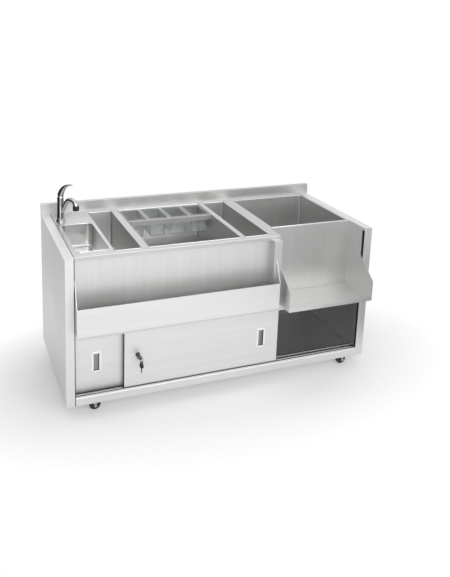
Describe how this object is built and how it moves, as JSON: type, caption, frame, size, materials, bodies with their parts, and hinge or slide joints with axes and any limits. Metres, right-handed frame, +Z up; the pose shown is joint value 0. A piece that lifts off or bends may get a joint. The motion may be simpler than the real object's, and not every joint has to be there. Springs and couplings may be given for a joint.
{
  "type": "cocktail station",
  "caption": "Free-standing stainless bar station on castors with sink and tap, bottle bins, garnish pans, ice bin, bottle rail, projecting shelf and sliding doors with a push lock.",
  "frame": {"origin": "on the floor under the middle of the whole footprint, the projecting shelf included", "axes": "+X to the right along the front, +Y from the front to the back, +Z up"},
  "size_m": [1.6, 0.804, 0.9816],
  "materials": {
    "stainless": "brushed",
    "tap_chrome": "polished",
    "fittings": "satin",
    "brass_fixing": "machined",
    "dark_plastic": "moulded",
    "clear_pan": "clear",
    "foam": "foamed",
    "nylon": "moulded",
    "castor_zinc": "zinc plated",
    "castor_tyre": "moulded"
  },
  "bodies": {
    "station": {"side_panel_left": "stainless", "side_panel_right": "stainless", "side_liner_left": "stainless", "side_liner_right": "stainless", "back_panel": "stainless", "backsplash": "stainless", "base_tray": "stainless", "castor_channels": "stainless", "centre_partition": "stainless", "upper_door_track": "stainless", "lower_door_guide": "stainless", "worktop": "stainless", "sink_bowl": "stainless", "sink_waste": "fittings", "sink_strainer": "fittings", "tap_body": "tap_chrome", "tap_aerator": "dark_plastic", "tap_fixing": "brass_fixing", "bottle_bin_left": "stainless", "bottle_bin_right": "stainless", "glass_well": "stainless", "pan_frame": "stainless", "ice_liner": "stainless", "ice_insulation": "foam", "ice_jacket": "stainless", "ice_drain": "fittings", "projecting_shelf": "stainless", "bottle_rail": "stainless", "bottle_bay_back": "stainless", "castor_plates": "castor_zinc"},
    "front_door": {"front_door": "stainless", "front_door_pull": "stainless", "lock_barrel": "fittings"},
    "rear_door": {"rear_door": "stainless", "rear_door_pull": "stainless", "lock_strike": "fittings"},
    "lock_core": {"lock_core": "fittings"},
    "key": {"lock_plug": "fittings", "lock_key": "dark_plastic"},
    "spare_key": {"key_ring": "fittings", "spare_key": "dark_plastic"},
    "tap_cap": {"tap_swivel_cap": "tap_chrome"},
    "tap_lever": {"tap_lever": "tap_chrome"},
    "ice_false_floor": {"ice_false_floor": "stainless"},
    "front_door_roller_left": {"front_door_roller_left": "nylon"},
    "front_door_roller_right": {"front_door_roller_right": "nylon"},
    "rear_door_roller_left": {"rear_door_roller_left": "nylon"},
    "rear_door_roller_right": {"rear_door_roller_right": "nylon"},
    "garnish_pan_1": {"garnish_pan_1": "clear_pan"},
    "garnish_pan_2": {"garnish_pan_2": "clear_pan"},
    "garnish_pan_3": {"garnish_pan_3": "clear_pan"},
    "garnish_pan_4": {"garnish_pan_4": "clear_pan"},
    "castor_front_left": {"castor_fork_front_left": "castor_zinc"},
    "wheel_front_left": {"castor_wheel_front_left": "castor_tyre"},
    "castor_front_right": {"castor_fork_front_right": "castor_zinc"},
    "wheel_front_right": {"castor_wheel_front_right": "castor_tyre"},
    "castor_rear_left": {"castor_fork_rear_left": "castor_zinc"},
    "wheel_rear_left": {"castor_wheel_rear_left": "castor_tyre"},
    "castor_rear_right": {"castor_fork_rear_right": "castor_zinc"},
    "wheel_rear_right": {"castor_wheel_rear_right": "castor_tyre"}
  },
  "joints": [
    {"name": "front_door_slide", "type": "slide", "parent": "station", "child": "front_door", "axis": [1, 0, 0], "range_m": [-0.227, 0.474]},
    {"name": "rear_door_slide", "type": "slide", "parent": "station", "child": "rear_door", "axis": [1, 0, 0], "range_m": [0, 0.701]},
    {"name": "lock_push", "type": "slide", "parent": "front_door", "child": "lock_core", "axis": [0, 1, 0], "range_m": [0, 0.009], "stiffness_N_per_m": 200},
    {"name": "key_turn", "type": "hinge", "parent": "lock_core", "child": "key", "pos_m": [-0.46, -0.303, 0.272], "axis": [0, 1, 0], "range_deg": [0, 90]},
    {"name": "spare_key_swing", "type": "hinge", "parent": "key", "child": "spare_key", "pos_m": [-0.45415, -0.337, 0.272], "axis": [0, 1, 0], "range_deg": [-90, 0]},
    {"name": "tap_swing", "type": "hinge", "parent": "station", "child": "tap_cap", "pos_m": [-0.72, 0.252, 0.888], "axis": [0, 0, 1], "range_deg": [-45, 45]},
    {"name": "tap_lift", "type": "hinge", "parent": "tap_cap", "child": "tap_lever", "pos_m": [-0.72, 0.252, 0.9063], "axis": [-0.766, -0.6428, 0], "range_deg": [0, 25]},
    {"name": "ice_false_floor_lift", "type": "slide", "parent": "station", "child": "ice_false_floor", "axis": [0, 0, 1], "range_m": [0, 0.28]},
    {"name": "front_door_roller_left_spin", "type": "hinge", "parent": "front_door", "child": "front_door_roller_left", "pos_m": [-0.466, -0.2895, 0.4038], "axis": [0, 1, 0], "continuous": true},
    {"name": "front_door_roller_right_spin", "type": "hinge", "parent": "front_door", "child": "front_door_roller_right", "pos_m": [0.219, -0.2895, 0.4038], "axis": [0, 1, 0], "continuous": true},
    {"name": "rear_door_roller_left_spin", "type": "hinge", "parent": "rear_door", "child": "rear_door_roller_left", "pos_m": [-0.693, -0.2655, 0.4038], "axis": [0, 1, 0], "continuous": true},
    {"name": "rear_door_roller_right_spin", "type": "hinge", "parent": "rear_door", "child": "rear_door_roller_right", "pos_m": [-0.008, -0.2655, 0.4038], "axis": [0, 1, 0], "continuous": true},
    {"name": "garnish_pan_1_lift", "type": "slide", "parent": "station", "child": "garnish_pan_1", "axis": [0, 0, 1], "range_m": [0, 0.12]},
    {"name": "garnish_pan_2_lift", "type": "slide", "parent": "station", "child": "garnish_pan_2", "axis": [0, 0, 1], "range_m": [0, 0.12]},
    {"name": "garnish_pan_3_lift", "type": "slide", "parent": "station", "child": "garnish_pan_3", "axis": [0, 0, 1], "range_m": [0, 0.12]},
    {"name": "garnish_pan_4_lift", "type": "slide", "parent": "station", "child": "garnish_pan_4", "axis": [0, 0, 1], "range_m": [0, 0.12]},
    {"name": "castor_swivel_front_left", "type": "hinge", "parent": "station", "child": "castor_front_left", "pos_m": [-0.678, -0.246, 0.0665], "axis": [0, 0, 1], "continuous": true},
    {"name": "wheel_spin_front_left", "type": "hinge", "parent": "castor_front_left", "child": "wheel_front_left", "pos_m": [-0.656, -0.246, 0.0275], "axis": [0, 1, 0], "continuous": true},
    {"name": "castor_swivel_front_right", "type": "hinge", "parent": "station", "child": "castor_front_right", "pos_m": [0.678, -0.246, 0.0665], "axis": [0, 0, 1], "continuous": true},
    {"name": "wheel_spin_front_right", "type": "hinge", "parent": "castor_front_right", "child": "wheel_front_right", "pos_m": [0.7, -0.246, 0.0275], "axis": [0, 1, 0], "continuous": true},
    {"name": "castor_swivel_rear_left", "type": "hinge", "parent": "station", "child": "castor_rear_left", "pos_m": [-0.678, 0.35, 0.0665], "axis": [0, 0, 1], "continuous": true},
    {"name": "wheel_spin_rear_left", "type": "hinge", "parent": "castor_rear_left", "child": "wheel_rear_left", "pos_m": [-0.656, 0.35, 0.0275], "axis": [0, 1, 0], "continuous": true},
    {"name": "castor_swivel_rear_right", "type": "hinge", "parent": "station", "child": "castor_rear_right", "pos_m": [0.678, 0.35, 0.0665], "axis": [0, 0, 1], "continuous": true},
    {"name": "wheel_spin_rear_right", "type": "hinge", "parent": "castor_rear_right", "child": "wheel_rear_right", "pos_m": [0.7, 0.35, 0.0275], "axis": [0, 1, 0], "continuous": true}
  ],
  "couplings": [
    {"joint": "spare_key_swing", "follows": "key_turn", "ratio": -1},
    {"joint": "front_door_roller_left_spin", "follows": "front_door_slide", "rad_per_m": 90.909},
    {"joint": "front_door_roller_right_spin", "follows": "front_door_slide", "rad_per_m": 90.909},
    {"joint": "rear_door_roller_left_spin", "follows": "rear_door_slide", "rad_per_m": 90.909},
    {"joint": "rear_door_roller_right_spin", "follows": "rear_door_slide", "rad_per_m": 90.909}
  ]
}
